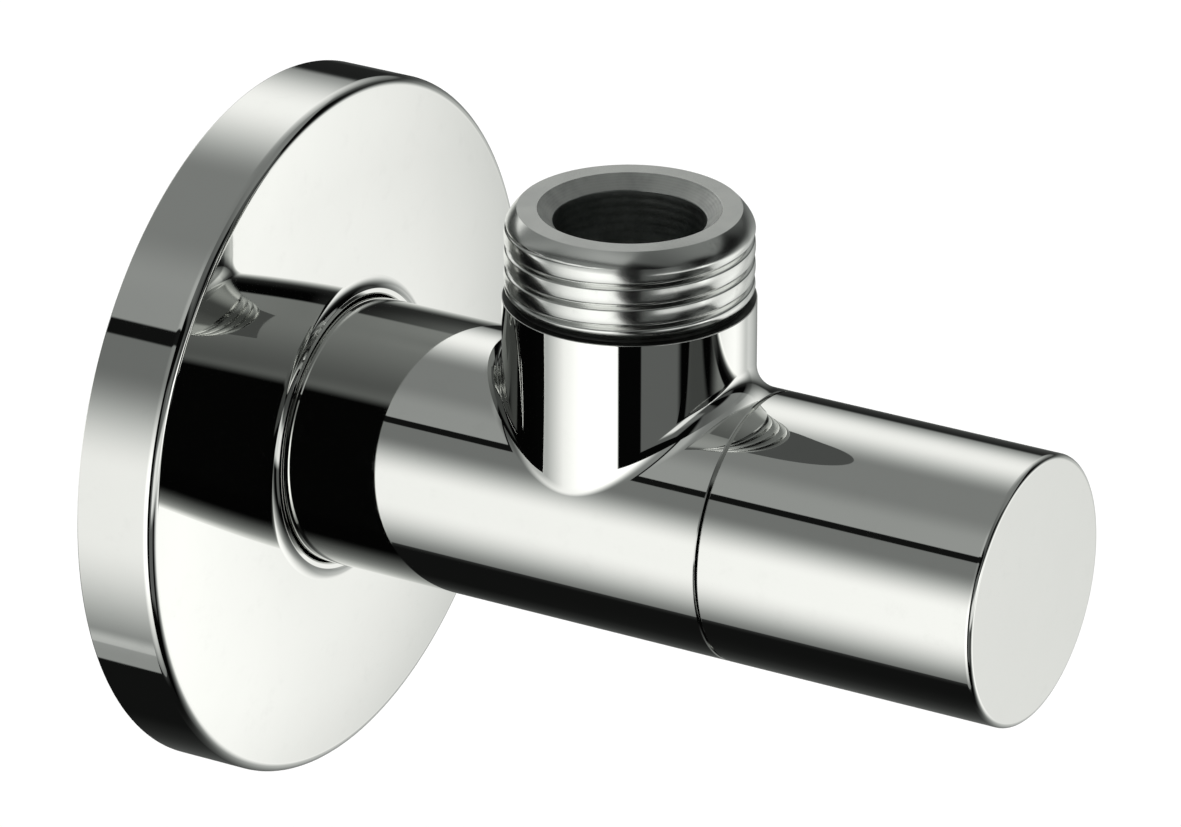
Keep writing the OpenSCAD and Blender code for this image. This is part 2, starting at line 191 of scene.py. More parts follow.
def rounded(corners, steps=ROUND_STEPS, closed=True):
    """Segments (start, end, start normal, end normal) of an outline with rounded corners.

    A corner is (radius, distance, rounding). The outline runs anticlockwise round the metal,
    seen with the radius to the right and the distance up, so metal is on its left.
    """
    points = np.array([corner[:2] for corner in corners], float)
    count = len(points)
    stretches = []
    for i, corner in enumerate(corners):
        rounding = corner[2] if len(corner) > 2 else 0
        end_point = not closed and i in (0, count - 1)
        if rounding == 0 or end_point:
            stretches.append([(points[i], None)])
            continue
        back = unit(points[i - 1] - points[i])
        ahead = unit(points[(i + 1) % count] - points[i])
        half = math.acos(np.clip(back @ ahead, -1, 1)) / 2
        centre = points[i] + unit(back + ahead) * rounding / math.sin(half)
        start = points[i] + back * rounding / math.tan(half) - centre
        end = points[i] + ahead * rounding / math.tan(half) - centre
        outward = 1 if back[0] * ahead[1] - back[1] * ahead[0] < 0 else -1
        arc = []
        for step in range(steps + 1):
            share = step / steps
            spoke = unit(start * math.sin((1 - share) * (math.pi - 2 * half))
                         + end * math.sin(share * (math.pi - 2 * half)))
            arc.append((centre + spoke * rounding, outward * spoke))
        stretches.append(arc)
    segments = []
    for i in range(count if closed else count - 1):
        (p, _), (q, _) = stretches[i][-1], stretches[(i + 1) % count][0]
        side = unit(q - p) @ np.array([[0, -1], [1, 0]])
        segments.append((p, q, side, side))
        arc = stretches[(i + 1) % count]
        segments += [(a, b, na, nb) for (a, na), (b, nb) in zip(arc, arc[1:])]
    return segments


def turned(segments, turns, place=from_wall, normal=wall_normal, material=0):
    """Surface of revolution from an outline's segments, as one grid per segment."""
    grids = []
    for start, end, start_normal, end_normal in segments:
        ends = np.array([start, end])[:, :, None]
        normals = np.array([start_normal, end_normal])[:, :, None]
        grids.append((place(ends[:, 0], ends[:, 1], turns[None, :]),
                      normal(normals[:, 0], normals[:, 1], turns[None, :]), material))
    return grids


def grid_quads(grids):
    """Corner indices and material of every cell of the grids, facing the way its normals do."""
    quads, materials, base = [], [], 0
    for points, _, material in grids:
        rows, columns = points.shape[:2]
        index = np.arange(rows * columns).reshape(rows, columns) + base
        cells = np.stack([index[:-1, :-1], index[:-1, 1:], index[1:, 1:], index[1:, :-1]], -1)
        quads.append(cells.reshape(-1, 4))
        materials.append(np.full(len(quads[-1]), material))
        base += rows * columns
    return np.concatenate(quads), np.concatenate(materials)


def build_mesh(name, grids):
    """One welded mesh from the grids, shaded with the grids' own normals."""
    points = np.concatenate([grid[0].reshape(-1, 3) for grid in grids])
    normals = np.concatenate([grid[1].reshape(-1, 3) for grid in grids])
    quads, materials = grid_quads(grids)
    across = np.cross(points[quads[:, 2]] - points[quads[:, 0]],
                      points[quads[:, 3]] - points[quads[:, 1]])
    backwards = (across * normals[quads].sum(1)).sum(1) < 0
    quads[backwards] = quads[backwards][:, ::-1]
    keys = np.floor(points / WELD + WELD_SHIFT).astype(np.int64)
    _, first, place = np.unique(keys, axis=0, return_index=True, return_inverse=True)
    place = place.reshape(-1)
    faces, corner_normals, face_materials = [], [], []
    for quad, material in zip(quads, materials):
        welded = place[quad]
        keep = [k for k in range(4) if welded[k] != welded[k - 1]]
        if len(set(welded[keep])) < 3:
            continue
        faces.append(welded[keep].tolist())
        corner_normals.extend(normals[quad[keep]])
        face_materials.append(material)
    mesh = bpy.data.meshes.new(name)
    mesh.from_pydata((points[first] * MM).tolist(), [], faces)
    mesh.polygons.foreach_set("use_smooth", [True] * len(faces))
    mesh.polygons.foreach_set("material_index", face_materials)
    mesh.normals_split_custom_set(np.array(corner_normals).tolist())
    piece = bpy.data.objects.new(name, mesh)
    bpy.context.scene.collection.objects.link(piece)
    return piece


def finish_piece(piece, body, nodes, materials):
    """Gives a piece its materials, its CAD body and the CAD nodes that it stands for."""
    for material in materials:
        piece.data.materials.append(material)
    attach(piece, body)
    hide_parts(*nodes)
    return piece


def ring_turns(count):
    return np.linspace(0, 2 * math.pi, count + 1)


# ---------------------------------------------------------------------------------------------
# Valve body
# ---------------------------------------------------------------------------------------------
PATCH_HALF_TURN = math.radians(80)   # the stretch of barrel that is gridded round the outlet
PATCH_ACROSS = 96                    # its divisions round the barrel
PATCH_ALONG = 84                     # and along it
FAR_SIDE = 168                       # divisions round the rest of the barrel
PATCH_RINGS = 26                     # rings between the outlet and the patch's border
CHAMBER_RINGS = 10                   # and between the port and its patch's border
PATCH_CROWDING = 1.4                 # power by which those rings crowd towards the hole
BARREL_PATCH = (20.0, BODY_END - FINE_EDGE)
CHAMBER_PATCH = (28.6, 42.6)


def patch_border():
    """Unit square's border, anticlockwise: +1 across is +X, +1 along is towards the wall."""
    across = np.linspace(-1, 1, PATCH_ACROSS + 1)
    along = np.linspace(-1, 1, PATCH_ALONG + 1)
    sides = [np.stack([0 * along + 1, along], -1)[:-1],
             np.stack([-across, 0 * across + 1], -1)[:-1],
             np.stack([0 * along - 1, -along], -1)[:-1],
             np.stack([across, 0 * across - 1], -1)[:-1]]
    border = np.concatenate(sides)
    return np.concatenate([border, border[:1]])


BORDER = patch_border()
OUTLET_TURNS = np.unwrap(np.arctan2(BORDER[:, 1], BORDER[:, 0]))


def barrel_turns():
    """Angles round the barrel that match the patch's divisions."""
    near = np.linspace(-PATCH_HALF_TURN, PATCH_HALF_TURN, PATCH_ACROSS + 1)
    far = np.linspace(PATCH_HALF_TURN, 2 * math.pi - PATCH_HALF_TURN, FAR_SIDE + 1)
    return np.concatenate([near, far[1:]])


def holed_patch(radius, span, hole_turn, hole_at, inward=False, rings=PATCH_RINGS, material=0):
    """Stretch of a cylinder with a hole in it, and the plain stretch on its far side."""
    low, high = span
    border_turn = -BORDER[:, 0] * PATCH_HALF_TURN
    border_at = (low + high) / 2 - BORDER[:, 1] * (high - low) / 2
    share = (np.linspace(0, 1, rings + 1) ** PATCH_CROWDING)[:, None]
    turn = hole_turn + (border_turn - hole_turn) * share
    at = hole_at + (border_at - hole_at) * share
    sign = -1 if inward else 1
    near = (from_wall(radius, at, turn), wall_normal(sign, 0 * at, turn), material)
    far_turn = np.linspace(PATCH_HALF_TURN, 2 * math.pi - PATCH_HALF_TURN, FAR_SIDE + 1)[None, :]
    far_at = np.linspace(low, high, PATCH_ALONG + 1)[:, None]
    far = (from_wall(radius, far_at, far_turn), wall_normal(sign, 0 * far_at, far_turn), material)
    return [near, far]


def blend_grid(turns):
    """Concave blend between the barrel and the outlet tube, the path of a rolling ball."""
    ball = from_outlet(TUBE_R + BLEND_R, 0, turns)
    ball[:, 2] = np.sqrt((BARREL_R + BLEND_R) ** 2 - ball[:, 0] ** 2)
    on_barrel = ball * [1, 0, 1] * BARREL_R / (BARREL_R + BLEND_R) + ball * [0, 1, 0]
    on_tube = from_outlet(TUBE_R, ball[:, 2], turns)
    first, last = unit(on_barrel - ball), unit(on_tube - ball)
    bend = np.arccos(np.clip((first * last).sum(-1), -1, 1))[None, :, None]
    share = np.linspace(0, 1, BLEND_RINGS + 1)[:, None, None]
    spoke = unit(first * np.sin((1 - share) * bend) + last * np.sin(share * bend))
    return ball + spoke * BLEND_R, -spoke, on_barrel, on_tube


def thread_cut(across):
    """How far a thread lies under its crest, at a distance from the middle of its groove."""
    groove = 0.5 + 0.5 * np.cos(math.pi * np.clip(across / GROOVE_HALF, -1, 1))
    from_crest = PITCH / 2 - abs(across)
    return THREAD_DEPTH * groove + CREST_BOW * from_crest ** 2 / 2


def end_cut(from_end, end):
    """How far the rounded end of a thread lies under its crest."""
    depth, height, power = end
    return depth * np.clip(1 - from_end / height, 0, 1) ** power


def thread_grid(turns, low, high, low_end, high_end, groove_at, place, normal, material=0):
    """Right-hand helical thread between two distances, with rounded ends."""

    def radius(at, turn):
        climb = (at - groove_at) / PITCH - turn / (2 * math.pi)
        across = (climb - np.round(climb)) * PITCH
        past_low = (at - low - END_SHARE * low_end[1]) / THREAD_FADE
        past_high = (high - at - END_SHARE * high_end[1]) / THREAD_FADE
        fade = np.clip(np.minimum(past_low, past_high), 0, 1)
        return (THREAD_R - fade * thread_cut(across) - end_cut(at - low, low_end)
                - end_cut(high - at, high_end))

    step = PITCH / THREAD_ROWS
    lead = PITCH * turns / (2 * math.pi)
    first = math.floor((low - groove_at - lead.max()) / step)
    last = math.ceil((high - groove_at - lead.min()) / step)
    rows = groove_at + np.arange(first, last + 1)[:, None] * step
    at = np.clip(rows + lead[None, :], low, high)
    turn = np.broadcast_to(turns[None, :], at.shape)
    up, down = np.minimum(at + SLOPE_REACH, high), np.maximum(at - SLOPE_REACH, low)
    slope = (radius(up, turn) - radius(down, turn)) / (up - down)
    flat = 1 / np.sqrt(1 + slope ** 2)
    return place(radius(at, turn), at, turn), normal(flat, -slope * flat, turn), material


def barrel_inside():
    """Outline from the front end of the barrel, inwards, to the edge of the chamber patch."""
    return rounded([(BARREL_R, BARREL_PATCH[1]), (BARREL_R - FINE_EDGE, BODY_END),
                    (SPIGOT_R, BODY_END), (SPIGOT_R, SPIGOT_AT), (SPIGOT_BORE_R, SPIGOT_AT),
                    (SPIGOT_BORE_R, BODY_END), (HEADWORK_BORE_R, BODY_END),
                    (HEADWORK_BORE_R, BODY_END - HEADWORK_DEPTH),
                    (CHAMBER_R, BODY_END - HEADWORK_DEPTH), (CHAMBER_R, CHAMBER_PATCH[1])],
                   closed=False)


def seat_and_inlet():
    """Outline from the chamber patch over the seat and down the inlet to its end face."""
    hole_end = SEAT_AT - SEAT_HOLE_DEPTH
    return rounded([(CHAMBER_R, CHAMBER_PATCH[0]), (CHAMBER_R, SEAT_AT - SEAT_HEIGHT),
                    (SEAT_FOOT_R, SEAT_AT - SEAT_HEIGHT), (SEAT_CREST_R, SEAT_AT, 0.15),
                    (SEAT_HOLE_R, SEAT_AT, 0.15), (SEAT_HOLE_R, hole_end),
                    (INLET_BORE_R, hole_end), (INLET_BORE_R, INLET_END, 0.4),
                    (RELIEF_R, INLET_END)], closed=False)


def wall_end():
    """Outline of the undercut and the shoulder that meets the wall."""
    return rounded([(RELIEF_R, INLET_RELIEF_AT), (RELIEF_R, SHOULDER_AT, 0.15),
                    (BARREL_R, SHOULDER_AT, 0.2), (BARREL_R, BARREL_PATCH[0])], closed=False)


def outlet_neck():
    """Outline of the top of the plain tube and the undercut below the thread."""
    return rounded([(TUBE_R, OUTLET_RELIEF_FROM - PLAIN_NECK), (TUBE_R, OUTLET_RELIEF_FROM, 0.06),
                    (OUTLET_RELIEF_R, OUTLET_RELIEF_FROM, 0.08),
                    (OUTLET_RELIEF_R, OUTLET_THREAD_FROM)],
                   closed=False)


def outlet_mouth():
    """Outline of the sealing face, its countersink and the bore under it."""
    return rounded([(OUTLET_RIM_R, OUTLET_TOP), (MOUTH_R, OUTLET_TOP, 0.08),
                    (BORE_R, OUTLET_TOP - MOUTH_DEPTH, 0.15), (BORE_R, PORT_TOP + PORT_CONE),
                    (PORT_R, PORT_TOP), (PORT_R, PORT_TOP - PORT_LIP)], closed=False)


# the recess look is painted shade: near-black metal stands in for the shade inside the undercut
# below the outlet thread
BODY_LOOKS = ("body", "thread", "face", "bore", "sunk", "recess")
CHROME, THREADED, FACED, BORE, SUNK, RECESS_PAINTED_SHADE = range(len(BODY_LOOKS))
MOUTH_EDGE = 1 + ROUND_STEPS    # segments of the mouth's outline that are its flat face
COUNTERSINK_EDGE = MOUTH_EDGE + 1
SPIGOT_EDGE = 4                 # segments of the inside's outline that are the shadow line
NECK_EDGE = 1 + ROUND_STEPS     # segments of the neck's outline that are the tube and its edge


def straight_grid(radius, low, high, turns, sign, material=CHROME):
    """Stretch of the outlet's tube or port between two heights, which may vary round it."""
    rise = np.linspace(0, 1, STRAIGHT_RINGS + 1)[:, None]
    height = low + (high - low) * rise
    return from_outlet(radius, height, turns), outlet_normal(sign, 0 * height, turns), material


def neck_grids(turns):
    """Top of the plain tube, the undercut darkened with painted shade, and the thread."""
    neck = outlet_neck()
    groove_at = GROOVE_HEIGHT - PITCH * GROOVE_TURN / 360
    thread = thread_grid(turns, OUTLET_THREAD_FROM, OUTLET_TOP, LOW_END, HIGH_END,
                         groove_at, from_outlet, outlet_normal, THREADED)
    return [*turned(neck[:NECK_EDGE], turns, from_outlet, outlet_normal),
            *turned(neck[NECK_EDGE:], turns, from_outlet, outlet_normal, RECESS_PAINTED_SHADE), thread]


def mouth_grids(turns):
    """Sealing face, countersink and bore of the outlet."""
    mouth = outlet_mouth()
    stretches = [(mouth[:MOUTH_EDGE], FACED), (mouth[MOUTH_EDGE:COUNTERSINK_EDGE], SUNK),
                 (mouth[COUNTERSINK_EDGE:], BORE)]
    return [grid for segments, material in stretches
            for grid in turned(segments, turns, from_outlet, outlet_normal, material)]


def port_grids(turns):
    """Port that leads down from the outlet's bore, and the chamber wall that it opens in."""
    chamber_height = np.sqrt(CHAMBER_R ** 2 - (PORT_R * np.cos(turns)) ** 2)
    port = from_outlet(PORT_R, chamber_height, turns)
    hole_turn = np.arctan2(-port[:, 0], port[:, 2])
    return [straight_grid(PORT_R, PORT_TOP - PORT_LIP, chamber_height, turns, -1, BORE),
            *holed_patch(CHAMBER_R, CHAMBER_PATCH, hole_turn, -port[:, 1], inward=True,
                         rings=CHAMBER_RINGS, material=BORE)]


def body_grids():
    turns, around = OUTLET_TURNS, barrel_turns()
    blend, blend_normals, on_barrel, on_tube = blend_grid(turns)
    hole_turn = np.arctan2(-on_barrel[:, 0], on_barrel[:, 2])
    grids = holed_patch(BARREL_R, BARREL_PATCH, hole_turn, -on_barrel[:, 1])
    grids.append((blend, blend_normals, CHROME))
    grids.append(straight_grid(TUBE_R, on_tube[:, 2], OUTLET_RELIEF_FROM - PLAIN_NECK, turns, 1))
    grids += neck_grids(turns) + mouth_grids(turns) + port_grids(turns)
    inside = barrel_inside()
    grids += turned(inside[:SPIGOT_EDGE], around)
    grids += turned(inside[SPIGOT_EDGE:], around, material=BORE)
    grids += turned(seat_and_inlet(), around, material=BORE)
    grids.append(thread_grid(around, INLET_END, INLET_RELIEF_AT, PLAIN_END, PLAIN_END,
                             0, from_wall, wall_normal, THREADED))
    return grids + turned(wall_end(), around)


# ---------------------------------------------------------------------------------------------
# Other pieces
# ---------------------------------------------------------------------------------------------
def handle_outline():
    cavity_r = BARREL_R - SHEET
    front, end = -HANDLE_HIGH[1], -HANDLE_LOW[1]
    floor_at = end - CAP_FLOOR
    return rounded([(0, floor_at), (cavity_r, floor_at, 0.3), (cavity_r, front, FINE_EDGE),
                    (BARREL_R, front, FINE_EDGE), (BARREL_R, end, CAP_EDGE_R), (0, end)],
                   closed=False)


def smooth_segments(points, normals):
    """Segments through points that have their own normals."""
    return [(*pair, *sides) for pair, sides in zip(zip(points, points[1:]),
                                                   zip(normals, normals[1:]))]


def face_segments():
    """Bulging face of the rosette from its edge to the flare, and the flare up to the lip."""
    edge_r = ROSETTE_R - ROSETTE_EDGE_R
    flare_from = LIP_OUTER_R + FLARE_R * math.sin(FLARE_ANGLE)
    left = np.linspace(1, 0, FACE_STEPS + 1)[:, None]
    r = flare_from + (edge_r - flare_from) * left
    slope = 2 * BULGE * left / (edge_r - flare_from)
    face = np.hstack([r, ROSETTE_FACE + BULGE * (1 - left ** 2)])
    turn = np.linspace(0, FLARE_ANGLE, ROUND_STEPS * 2 + 1)[:, None]
    spoke = np.hstack([-np.sin(turn), -np.cos(turn)])
    flare = [flare_from, ROSETTE_FACE + BULGE + FLARE_R] + FLARE_R * spoke
    return (smooth_segments(face, unit(np.hstack([slope, 1 + 0 * slope])))
            + smooth_segments(flare, -spoke))


def rosette_outline():
    inner = ROSETTE_FACE - SHEET
    face = face_segments()
    flare_end = face[-1][1]
    rim = rounded([(LIP_INNER_R, ROSETTE_FACE), (LIP_INNER_R, inner, 0.1),
                   (ROSETTE_R - SHEET, inner, 0.4), (ROSETTE_R - SHEET, 0, 0.15),
                   (ROSETTE_R, 0, 0.15), (ROSETTE_R, ROSETTE_FACE, ROSETTE_EDGE_R),
                   (ROSETTE_R - 2 * ROSETTE_EDGE_R, ROSETTE_FACE)], closed=False)[:-1]
    lip = rounded([flare_end, (LIP_OUTER_R - LIP_LEAN, LIP_TOP, 0.1),
                   (LIP_INNER_R, LIP_TOP, 0.22), (LIP_INNER_R, ROSETTE_FACE)], closed=False)
    return rim + face + lip


def hub_outline():
    low, high, outer = -HUB_HIGH[1], -HUB_LOW[1], HUB_HIGH[0]
    grip_at = -(GRIP_LOW[1] + GRIP_HIGH[1]) / 2
    groove_r, half = GRIP_HIGH[0] + RING_GAP, GRIP_GROOVE_HALF
    return rounded([(LIP_INNER_R, low, 0.3), (outer, low, 0.4), (outer, high, 0.2),
                    (LIP_INNER_R, high), (LIP_INNER_R, grip_at + half), (groove_r, grip_at + half),
                    (groove_r, grip_at - half), (LIP_INNER_R, grip_at - half)])


def seal_outline():
    inner, outer = RELIEF_R + RING_GAP, SEAL_HIGH[0]
    low, high, rounding = -SEAL_HIGH[1], -SEAL_LOW[1], 0.12
    return rounded([(inner, low, rounding), (outer, low, rounding),
                    (outer, high, rounding), (inner, high, rounding)])


def grip_outline():
    """Circle of the grip ring's section, from its CAD node's box."""
    half = (GRIP_HIGH[1] - GRIP_LOW[1]) / 2
    centre_r, at = GRIP_HIGH[0] - half, -(GRIP_LOW[1] + GRIP_HIGH[1]) / 2
    size = half * 0.999     # just under half, so that neighbouring arcs don't quite meet
    return rounded([(centre_r - half, at - half, size), (centre_r + half, at - half, size),
                    (centre_r + half, at + half, size), (centre_r - half, at + half, size)])


def build_pieces(finish):
    """All pieces made here; finish holds the materials by their look."""
    body = build_mesh("body_casting", body_grids())
    finish_piece(body, "valve", ["valve_body"],
                 [finish[look] for look in BODY_LOOKS])
    # Name, body, slot, the CAD node that it stands for, outline and look
    turned_pieces = [
        ("handle_cap", "handle", "handle_chrome", "handle_shell", handle_outline(), "handle"),
        ("rosette_plate", "rosette", "rosette_chrome", "rosette", rosette_outline(), "rosette"),
        ("rosette_guide", "rosette", "hub_plastic", "rosette_hub", hub_outline(), "hub"),
        ("grip_ring", "rosette", "rubber", "rosette_grip_ring", grip_outline(), "rubber"),
        ("seal_ring", "valve", "ptfe", "inlet_seal_ring", seal_outline(), "ptfe"),
    ]
    for name, rider, slot, node, outline, look in turned_pieces:
        count = FINE_TURNS if node in ("rosette", "handle_shell") else LATHE_TURNS
        piece = build_mesh(name, turned(outline, ring_turns(count)))
        finish_piece(piece, rider, [node], [finish[look]])


# ---------------------------------------------------------------------------------------------
# Materials: node trees with noise-driven colour, roughness and relief, in millimetres
# ---------------------------------------------------------------------------------------------
class Tree:
    """Short-hand for wiring up a node tree."""

    def __init__(self, tree):
        self.tree = tree
        tree.nodes.clear()

    def add(self, kind, inputs=None, **settings):
        node = self.tree.nodes.new("ShaderNode" + kind)
        for key, value in settings.items():
            setattr(node, key, value)
        for key, value in (inputs or {}).items():
            socket = node.inputs[key]
            if isinstance(value, bpy.types.NodeSocket):
                self.tree.links.new(value, socket)
            else:
                socket.default_value = value
        return node

    def math(self, operation, *values):
        inputs = {i: value for i, value in enumerate(values)}
        return self.add("Math", inputs, operation=operation).outputs[0]

    def span(self, value, low, high, to_low=0.0, to_high=1.0, smooth=True):
        """Maps one range to another and clamps it."""
        kind = "SMOOTHSTEP" if smooth else "LINEAR"
        node = self.add("MapRange", {0: value, 1: low, 2: high, 3: to_low, 4: to_high},
                        interpolation_type=kind)
        return node.outputs[0]

    def band(self, value, edges):
        """1 inside a band of values and 0 outside it, with soft edges."""
        rise_from, rise_to, fall_from, fall_to = edges
        return self.product(self.span(value, rise_from, rise_to),
                            self.span(value, fall_from, fall_to, 1.0, 0.0))

    def product(self, *factors):
        total = factors[0]
        for factor in factors[1:]:
            total = self.math("MULTIPLY", total, factor)
        return total

    def blend(self, share, a, b):
        """Number between a and b."""
        return self.add("Mix", {0: share, 2: a, 3: b}).outputs[0]

    def mix(self, share, a, b):
        """Colour between a and b."""
        node = self.add("Mix", {"Factor": share}, data_type="RGBA")
        for index, value in ((6, a), (7, b)):
            if isinstance(value, bpy.types.NodeSocket):
                self.tree.links.new(value, node.inputs[index])
            else:
                node.inputs[index].default_value = value
        return node.outputs[2]

    def noise(self, vector, per_mm, detail=2.0, roughness=0.5):
        """Noise with so many lumps in a millimetre."""
        node = self.add("TexNoise", {"Vector": vector, "Scale": per_mm, "Detail": detail,
                                     "Roughness": roughness})
        return node.outputs[0]


def rgba(colour):
    return (*colour, 1.0)


def start_material(name):
    """A material, its tree, and the object's own coordinates in millimetres."""
    material = bpy.data.materials.new(name)
    material.use_nodes = True
    tree = Tree(material.node_tree)
    place = tree.add("TexCoord").outputs["Object"]
    scale = tree.add("VectorMath", {0: place, 1: (1 / MM,) * 3}, operation="MULTIPLY")
    return material, tree, scale.outputs[0]


def end_material(tree, inputs, relief=None, relief_height=0.0):
    """Principled surface; relief is a bump pattern and its height is in millimetres."""
    shader = tree.add("BsdfPrincipled", inputs)
    if relief is not None:
        bump = tree.add("Bump", {"Height": relief, "Distance": relief_height * MM, "Strength": 1.0})
        tree.tree.links.new(bump.outputs[0], shader.inputs["Normal"])
    output = tree.add("OutputMaterial")
    tree.tree.links.new(shader.outputs[0], output.inputs["Surface"])


CHROME_COLOUR = (0.86, 0.865, 0.845)
CHROME_DULL = (0.84, 0.845, 0.825)
RING_WANDER = 3.0       # how far tool rings wander, in radians
RING_ROUGHNESS = 0.35   # how much rougher a ring's crest is, as a share of the polish
RUBBED_SCALE = 0.12     # size of rubbed patches against the grain
RUBBED_POLISH = -0.12   # what rubbing adds to the roughness
UPWARDS = 2             # Z as a part of a vector


def chrome(name, polish, smudge, ripple, colour=CHROME_COLOUR, dull=CHROME_DULL):
    """Plated chrome: a mirror with faint smudges and the slight ripple of polished metal."""
    material, tree, place = start_material(name)
    cloudy = tree.noise(place, per_mm=0.11, detail=4.0, roughness=0.6)
    smudges = tree.noise(place, per_mm=0.45, detail=6.0, roughness=0.65)
    marks = tree.span(smudges, 0.52, 0.74)
    shade = tree.math("MULTIPLY", tree.span(cloudy, 0.4, 0.7), 0.5)
    surface = tree.mix(tree.math("MAXIMUM", shade, marks), rgba(colour), rgba(dull))
    rough = tree.math("MULTIPLY_ADD", marks, smudge, polish)
    wave = tree.noise(place, per_mm=0.25, detail=1.0, roughness=0.4)
    end_material(tree, {"Base Color": surface, "Metallic": 1.0, "Roughness": rough},
                 wave, ripple)
    return material


def turned_metal(name, colour, dull, polish, groove, ring_pitch, centre, along=None):
    """Machined metal: fine tool rings round an axis, or along it inside a bore."""
    material, tree, place = start_material(name)
    local = tree.add("VectorMath", {0: place, 1: centre}, operation="SUBTRACT").outputs[0]
    parts = tree.add("SeparateXYZ", {0: local})
    if along is None:
        across = tree.math("SQRT", tree.math("ADD", tree.math("POWER", parts.outputs[0], 2.0),
                                             tree.math("POWER", parts.outputs[1], 2.0)))
    else:
        across = parts.outputs[along]
    wander = tree.noise(place, per_mm=0.6)
    turns = tree.math("MULTIPLY_ADD", across, 2 * math.pi / ring_pitch,
                      tree.math("MULTIPLY", wander, RING_WANDER))
    rings = tree.math("MULTIPLY_ADD", tree.math("SINE", turns), 0.5, 0.5)
    stain = tree.span(tree.noise(place, per_mm=0.35, detail=5.0, roughness=0.6), 0.35, 0.75)
    surface = tree.mix(stain, rgba(colour), rgba(dull))
    rough = tree.math("MULTIPLY_ADD", rings, polish * RING_ROUGHNESS, polish)
    end_material(tree, {"Base Color": surface, "Metallic": 1.0, "Roughness": rough}, rings, groove)
    return material


def moulded(name, colour, worn, roughness, grain, per_mm, metal=0.0):
    """Moulded plastic, rubber, or plain metal with a fine grain and paler rubbed patches."""
    material, tree, place = start_material(name)
    patches = tree.noise(place, per_mm * RUBBED_SCALE, detail=5.0, roughness=0.6)
    rubbed = tree.span(patches, 0.45, 0.7)
    surface = tree.mix(rubbed, rgba(colour), rgba(worn))
    rough = tree.math("MULTIPLY_ADD", rubbed, RUBBED_POLISH, roughness)
    fine = tree.noise(place, per_mm, detail=3.0, roughness=0.6)
    end_material(tree, {"Base Color": surface, "Metallic": metal, "Roughness": rough}, fine, grain)
    return material


def chrome_finishes():
    return {
        "body": chrome("chrome_body", polish=0.022, smudge=0.025, ripple=0.0008),
        "handle": chrome("chrome_handle", polish=0.022, smudge=0.025, ripple=0.0006),
        "rosette": chrome("chrome_rosette", polish=0.022, smudge=0.03, ripple=0.0008),
        "thread": chrome("chrome_thread", polish=0.20, smudge=0.05, ripple=0.0006,
                         colour=(0.80, 0.81, 0.79), dull=(0.72, 0.73, 0.71)),
    }


def turned_finishes():
    centre = (0, -OUTLET_AT, 0)
    return {
        "face": turned_metal("faced_rim", (0.46, 0.47, 0.455), (0.41, 0.42, 0.41), polish=0.16,
                             groove=0.0006, ring_pitch=0.16, centre=centre),
        "sunk": turned_metal("countersink", (0.80, 0.81, 0.79), (0.60, 0.61, 0.60), polish=0.5,
                             groove=0.001, ring_pitch=0.2, centre=centre),
        # painted shade: near-black metal stands in for the shade that falls in the deep undercut
        # below the outlet thread
        "recess": turned_metal("recess", (0.10, 0.105, 0.10), (0.05, 0.052, 0.05), polish=0.4,
                               groove=0.001, ring_pitch=0.2, centre=centre, along=UPWARDS),
        "bore": turned_metal("bored_waterway", (0.62, 0.64, 0.63), (0.40, 0.42, 0.41),
                             polish=0.30, groove=0.010, ring_pitch=0.75, centre=centre,
                             along=UPWARDS),
    }


def moulded_finishes():
    return {
        "brass": moulded("brass_turned", (0.74, 0.55, 0.25), (0.80, 0.66, 0.38),
                         roughness=0.30, grain=0.002, per_mm=5.0, metal=1.0),
        "steel": moulded("steel_plain", (0.55, 0.55, 0.56), (0.68, 0.68, 0.68),
                         roughness=0.32, grain=0.002, per_mm=6.0, metal=1.0),
        "rubber": moulded("rubber_black", (0.018, 0.018, 0.019), (0.05, 0.05, 0.05),
                          roughness=0.6, grain=0.006, per_mm=7.0),
        "ptfe": moulded("ptfe_white", (0.86, 0.86, 0.83), (0.93, 0.93, 0.91),
                        roughness=0.42, grain=0.003, per_mm=5.0),
        "plastic": moulded("acetal_white", (0.80, 0.79, 0.73), (0.88, 0.87, 0.82),
                           roughness=0.38, grain=0.004, per_mm=4.0),
        "hub": moulded("guide_plastic", (0.06, 0.062, 0.066), (0.12, 0.122, 0.126),
                       roughness=0.5, grain=0.008, per_mm=4.0),
    }


# Look of each CAD node that is shown as it is
CAD_LOOKS = {"bonnet": "brass", "piston": "brass", "spindle": "brass", "washer_screw": "steel",
             "washer_plate": "steel", "circlip": "steel", "snap_ring": "steel",
             "handle_insert": "plastic", "slip_washer": "ptfe", "glide_ring": "plastic",
             "bonnet_o_ring": "rubber", "piston_o_ring": "rubber", "spindle_o_rings": "rubber",
             "seat_washer": "rubber"}


def dress_cad(finish):
    for node, look in CAD_LOOKS.items():
        piece = frame["nodes"][node]
        piece.data.materials.clear()
        piece.data.materials.append(finish[look])


# ---------------------------------------------------------------------------------------------
# Studio: soft panels round the valve, a pale floor and the camera
# ---------------------------------------------------------------------------------------------
# Directions in the studio are unit vectors: X to the right, Y to the wall and Z up. A band is
# (rise from, rise to, fall from, fall to), and a panel is a band with its brightness. Panels lie
# round the barrel's axis and are given in degrees from +X over the top.
WALL_SIDE_PANELS = [
    (6, 40, 42, 79, 0.80),          # window panel up on the right
    (8, 13, 135.2, 136.0, 0.215),   # ceiling
    (104, 122, 135.2, 136.0, 0.09),
    (140.4, 141.2, 248.2, 249.0, 0.17),
    (151, 184, 206, 254, 0.83),     # big panel on the left
    (295, 332, 336, 352, 0.09),
    (284, 300, 330, 420, 0.012),
]
RIM_PANELS = [                      # what only the rosette's rim sees more of
    (242, 247, 256.0, 256.8, 0.29),
]
FRONT_SIDE_PANELS = [
    (266, 342, 338, 372, 0.93),     # low panel on the right
    (260, 276, 350, 386, 0.05),
    (37.5, 41, 66, 120, 0.10),      # ceiling
    (37.5, 41, 122, 131, 0.10),
]
